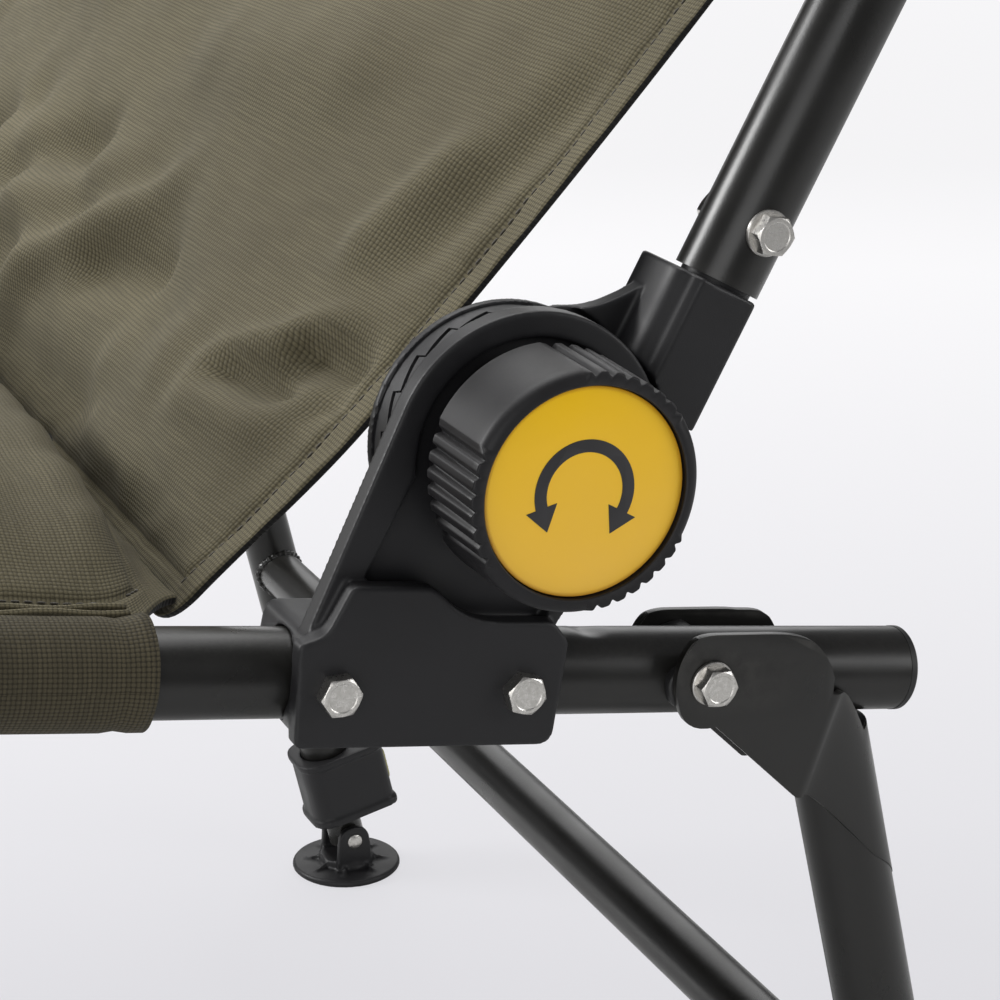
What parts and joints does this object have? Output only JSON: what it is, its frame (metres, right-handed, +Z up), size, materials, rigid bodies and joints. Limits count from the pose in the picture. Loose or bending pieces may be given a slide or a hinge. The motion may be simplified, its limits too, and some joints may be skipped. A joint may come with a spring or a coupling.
{
  "type": "folding fishing chair",
  "caption": "Low folding fishing chair: tubular seat and backrest frames joined by toothed recline hubs with knobs, padded mat, telescopic legs with swivel mud feet.",
  "frame": {"origin": "on the floor under the middle of the open chair", "axes": "+Z up, -Y the way the occupant faces, +X the occupant's left"},
  "size_m": [0.7054, 1.0638, 0.996],
  "materials": {
    "tube": "dark brown-black satin powder coat",
    "moulded": "charcoal glass-filled nylon, fine texture",
    "knob": "charcoal moulding with a satin skin",
    "badge": "yellow printed disc, slightly glossy",
    "steel": "bright stainless fasteners",
    "nylon": "black nylon",
    "button": "olive-yellow moulding",
    "fabric": "coarse khaki-olive polyester oxford cloth"
  },
  "bodies": {
    "seat": {"seat_frame": "tube", "rail_end_cap_left": "nylon", "rail_end_cap_right": "nylon", "hinge_base_left": "moulded", "hinge_base_right": "moulded", "hinge_base_bolt_front_left": "steel", "hinge_base_bolt_rear_left": "steel", "hinge_base_bolt_front_right": "steel", "hinge_base_bolt_rear_right": "steel", "hub_bolt_left": "steel", "hub_bolt_right": "steel", "hub_spring_left": "steel", "hub_spring_right": "steel", "rear_leg_bolt_left": "steel", "rear_leg_bolt_right": "steel", "front_leg_bolt_left": "steel", "front_leg_bolt_right": "steel", "seat_mat": "fabric"},
    "left_knob": {"knob_left": "knob", "knob_badge_left": "badge", "knob_insert_left": "steel"},
    "right_knob": {"knob_right": "knob", "knob_badge_right": "badge", "knob_insert_right": "steel"},
    "backrest": {"backrest_socket_left": "moulded", "backrest_socket_right": "moulded", "backrest_frame": "tube", "backrest_bolt_left": "steel", "backrest_bolt_right": "steel", "back_mat": "fabric"},
    "rear_legs": {"rear_cross_tube": "tube", "rear_leg_left": "tube", "rear_leg_right": "tube", "rear_leg_plug_left": "nylon", "rear_leg_plug_right": "nylon", "rear_lock_housing_left": "moulded", "rear_lock_housing_right": "moulded"},
    "front_legs": {"front_cross_tube": "tube", "front_leg_left": "tube", "front_leg_right": "tube", "front_leg_plug_left": "nylon", "front_leg_plug_right": "nylon", "front_lock_housing_left": "moulded", "front_lock_housing_right": "moulded"},
    "rear_button_left": {"rear_lock_button_left": "button"},
    "rear_button_right": {"rear_lock_button_right": "button"},
    "front_button_left": {"front_lock_button_left": "button"},
    "front_button_right": {"front_lock_button_right": "button"},
    "rear_extension_left": {"rear_inner_leg_left": "tube", "rear_foot_pin_left": "steel"},
    "rear_extension_right": {"rear_inner_leg_right": "tube", "rear_foot_pin_right": "steel"},
    "front_extension_left": {"front_inner_leg_left": "tube", "front_foot_pin_left": "steel"},
    "front_extension_right": {"front_inner_leg_right": "tube", "front_foot_pin_right": "steel"},
    "rear_mud_foot_left": {"rear_foot_left": "moulded"},
    "rear_mud_foot_right": {"rear_foot_right": "moulded"},
    "front_mud_foot_left": {"front_foot_left": "moulded"},
    "front_mud_foot_right": {"front_foot_right": "moulded"}
  },
  "joints": [
    {"name": "backrest_recline", "type": "hinge", "parent": "seat", "child": "backrest", "pos_m": [0, 0.17552, 0.43778], "axis": [1, 0, 0], "range_deg": [-54, 108]},
    {"name": "knob_turn_left", "type": "hinge", "parent": "seat", "child": "left_knob", "pos_m": [0.303, 0.17552, 0.43778], "axis": [1, 0, 0], "range_deg": [0, 900]},
    {"name": "knob_turn_right", "type": "hinge", "parent": "seat", "child": "right_knob", "pos_m": [-0.303, 0.17552, 0.43778], "axis": [-1, 0, 0], "range_deg": [0, 900]},
    {"name": "rear_leg_fold", "type": "hinge", "parent": "seat", "child": "rear_legs", "pos_m": [0, 0.23068, 0.36414], "axis": [-1, 0, 0], "range_deg": [0, 98]},
    {"name": "front_leg_fold", "type": "hinge", "parent": "seat", "child": "front_legs", "pos_m": [0, -0.36786, 0.45894], "axis": [-1, 0, 0], "range_deg": [-91, 0]},
    {"name": "rear_leg_slide_left", "type": "slide", "parent": "rear_legs", "child": "rear_extension_left", "axis": [0, 0.2226, -0.9749], "range_m": [-0.005, 0.14]},
    {"name": "rear_leg_slide_right", "type": "slide", "parent": "rear_legs", "child": "rear_extension_right", "axis": [0, 0.2226, -0.9749], "range_m": [-0.005, 0.14]},
    {"name": "front_leg_slide_left", "type": "slide", "parent": "front_legs", "child": "front_extension_left", "axis": [0, -0.2079, -0.9781], "range_m": [-0.1, 0.045]},
    {"name": "front_leg_slide_right", "type": "slide", "parent": "front_legs", "child": "front_extension_right", "axis": [0, -0.2079, -0.9781], "range_m": [-0.1, 0.045]},
    {"name": "rear_button_press_left", "type": "slide", "parent": "rear_legs", "child": "rear_button_left", "axis": [0, -0.9749, -0.2226], "range_m": [0, 0.003], "stiffness_N_per_m": 200, "springref_m": -0.005},
    {"name": "rear_button_press_right", "type": "slide", "parent": "rear_legs", "child": "rear_button_right", "axis": [0, -0.9749, -0.2226], "range_m": [0, 0.003], "stiffness_N_per_m": 200, "springref_m": -0.005},
    {"name": "front_button_press_left", "type": "slide", "parent": "front_legs", "child": "front_button_left", "axis": [0, 0.9781, -0.2079], "range_m": [0, 0.003], "stiffness_N_per_m": 200, "springref_m": -0.005},
    {"name": "front_button_press_right", "type": "slide", "parent": "front_legs", "child": "front_button_right", "axis": [0, 0.9781, -0.2079], "range_m": [0, 0.003], "stiffness_N_per_m": 200, "springref_m": -0.005},
    {"name": "rear_foot_swivel_left", "type": "hinge", "parent": "rear_extension_left", "child": "rear_mud_foot_left", "pos_m": [0.303, 0.35109, 0.02], "axis": [1, 0, 0], "range_deg": [-20, 20]},
    {"name": "rear_foot_swivel_right", "type": "hinge", "parent": "rear_extension_right", "child": "rear_mud_foot_right", "pos_m": [-0.303, 0.35109, 0.02], "axis": [1, 0, 0], "range_deg": [-20, 20]},
    {"name": "front_foot_swivel_left", "type": "hinge", "parent": "front_extension_left", "child": "front_mud_foot_left", "pos_m": [0.303, -0.50288, 0.02], "axis": [1, 0, 0], "range_deg": [-20, 20]},
    {"name": "front_foot_swivel_right", "type": "hinge", "parent": "front_extension_right", "child": "front_mud_foot_right", "pos_m": [-0.303, -0.50288, 0.02], "axis": [1, 0, 0], "range_deg": [-20, 20]}
  ]
}
